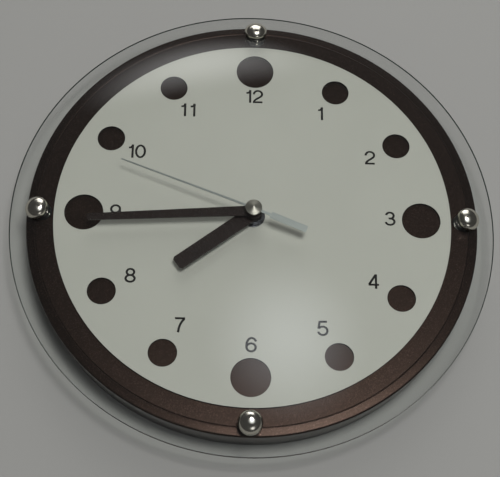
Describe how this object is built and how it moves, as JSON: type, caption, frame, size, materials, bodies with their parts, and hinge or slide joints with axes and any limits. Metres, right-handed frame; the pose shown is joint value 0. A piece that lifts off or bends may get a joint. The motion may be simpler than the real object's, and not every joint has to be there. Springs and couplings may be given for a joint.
{
  "type": "quartz wall clock",
  "caption": "Round wall clock with a domed glass held by dome-head screws over a white dial with round hour holes; hour, minute and second hands run on a quartz movement.",
  "frame": {"origin": "centre of the rear rim, in the plane that lies on the wall or on a table", "axes": "+Z out of the dial, +Y towards 12 o'clock, +X towards 3 o'clock; the clock lies on its back"},
  "size_m": [0.32, 0.32, 0.0629],
  "materials": {
    "case_paint": "brown metallic paint on moulded plastic",
    "dial_white": "satin white",
    "clear_glass": "polished clear glass",
    "chrome": "polished",
    "steel": "bright plated",
    "black_rubber": "matt black",
    "hand_brown": "dark brown lacquer",
    "second_hand_metal": "satin",
    "cap_metal": "turned",
    "housing_plastic": "fine moulded texture",
    "gear_plastic": "natural moulded",
    "brass": "turned",
    "magnet": "sintered",
    "soft_iron": "stamped",
    "copper": "enamelled wire",
    "board_green": "solder mask",
    "battery_jacket": "printed film"
  },
  "bodies": {
    "clock": {"case": "case_paint", "dial_plate": "dial_white", "glass_lens": "clear_glass", "screw_dome_3": "chrome", "screw_dome_12": "chrome", "screw_dome_9": "chrome", "screw_dome_6": "chrome", "screw_nut_3": "steel", "screw_nut_12": "steel", "screw_nut_9": "steel", "screw_nut_6": "steel", "glass_spacer_3": "black_rubber", "glass_spacer_12": "black_rubber", "glass_spacer_9": "black_rubber", "glass_spacer_6": "black_rubber", "movement_gasket": "black_rubber", "hand_washer": "chrome", "hand_nut": "chrome", "movement_case": "housing_plastic", "movement_cover": "housing_plastic", "stator": "soft_iron", "coil": "copper", "circuit_board": "board_green", "chip": "housing_plastic", "quartz_crystal": "steel", "contact_positive": "steel", "contact_negative": "steel", "hanger_plate": "steel", "hanger_screw_left": "steel", "hanger_screw_right": "steel"},
    "seconds": {"second_hand": "second_hand_metal", "second_hand_cap": "cap_metal", "second_wheel": "gear_plastic"},
    "minutes": {"minute_hand": "hand_brown", "cannon_pinion": "brass"},
    "hours": {"hour_hand": "hand_brown", "hour_wheel": "gear_plastic"},
    "minute_work": {"minute_wheel": "gear_plastic"},
    "setting": {"setting_arbor": "gear_plastic", "setting_knob": "housing_plastic"},
    "center": {"center_wheel": "brass"},
    "third": {"third_wheel": "gear_plastic"},
    "fifth": {"fifth_wheel": "gear_plastic"},
    "motor": {"rotor": "magnet"},
    "cell": {"battery": "battery_jacket"}
  },
  "joints": [
    {"name": "second_turn", "type": "hinge", "parent": "clock", "child": "seconds", "pos_m": [0, 0, 0.0408], "axis": [0, 0, -1], "continuous": true},
    {"name": "minute_turn", "type": "hinge", "parent": "clock", "child": "minutes", "pos_m": [0, 0, 0.0366], "axis": [0, 0, -1], "continuous": true},
    {"name": "hour_turn", "type": "hinge", "parent": "clock", "child": "hours", "pos_m": [0, 0, 0.0334], "axis": [0, 0, -1], "continuous": true},
    {"name": "minute_work_turn", "type": "hinge", "parent": "clock", "child": "minute_work", "pos_m": [-0.00748, 0.00432, 0.019], "axis": [0, 0, -1], "continuous": true},
    {"name": "setting_turn", "type": "hinge", "parent": "clock", "child": "setting", "pos_m": [-0.0118, 0.0118, 0.0055], "axis": [0, 0, -1], "continuous": true},
    {"name": "center_turn", "type": "hinge", "parent": "clock", "child": "center", "pos_m": [0, 0, 0.0174], "axis": [0, 0, -1], "continuous": true},
    {"name": "third_turn", "type": "hinge", "parent": "clock", "child": "third", "pos_m": [0.00786, 0.0066, 0.0158], "axis": [0, 0, -1], "continuous": true},
    {"name": "fifth_turn", "type": "hinge", "parent": "clock", "child": "fifth", "pos_m": [-0.00827, 0.00146, 0.0127], "axis": [0, 0, -1], "continuous": true},
    {"name": "rotor_turn", "type": "hinge", "parent": "clock", "child": "motor", "pos_m": [-0.01313, -0.00433, 0.0107], "axis": [0, 0, -1], "continuous": true},
    {"name": "battery_slide", "type": "slide", "parent": "clock", "child": "cell", "axis": [0, 0, -1], "range_m": [0, 0.016]}
  ],
  "couplings": [
    {"joint": "fifth_turn", "follows": "second_turn", "ratio": -6},
    {"joint": "rotor_turn", "follows": "second_turn", "ratio": 30},
    {"joint": "third_turn", "follows": "second_turn", "ratio": -0.125},
    {"joint": "center_turn", "follows": "second_turn", "ratio": 0.016667},
    {"joint": "minute_work_turn", "follows": "minute_turn", "ratio": -0.33333},
    {"joint": "hour_turn", "follows": "minute_turn", "ratio": 0.083333},
    {"joint": "setting_turn", "follows": "minute_turn", "ratio": 1}
  ]
}
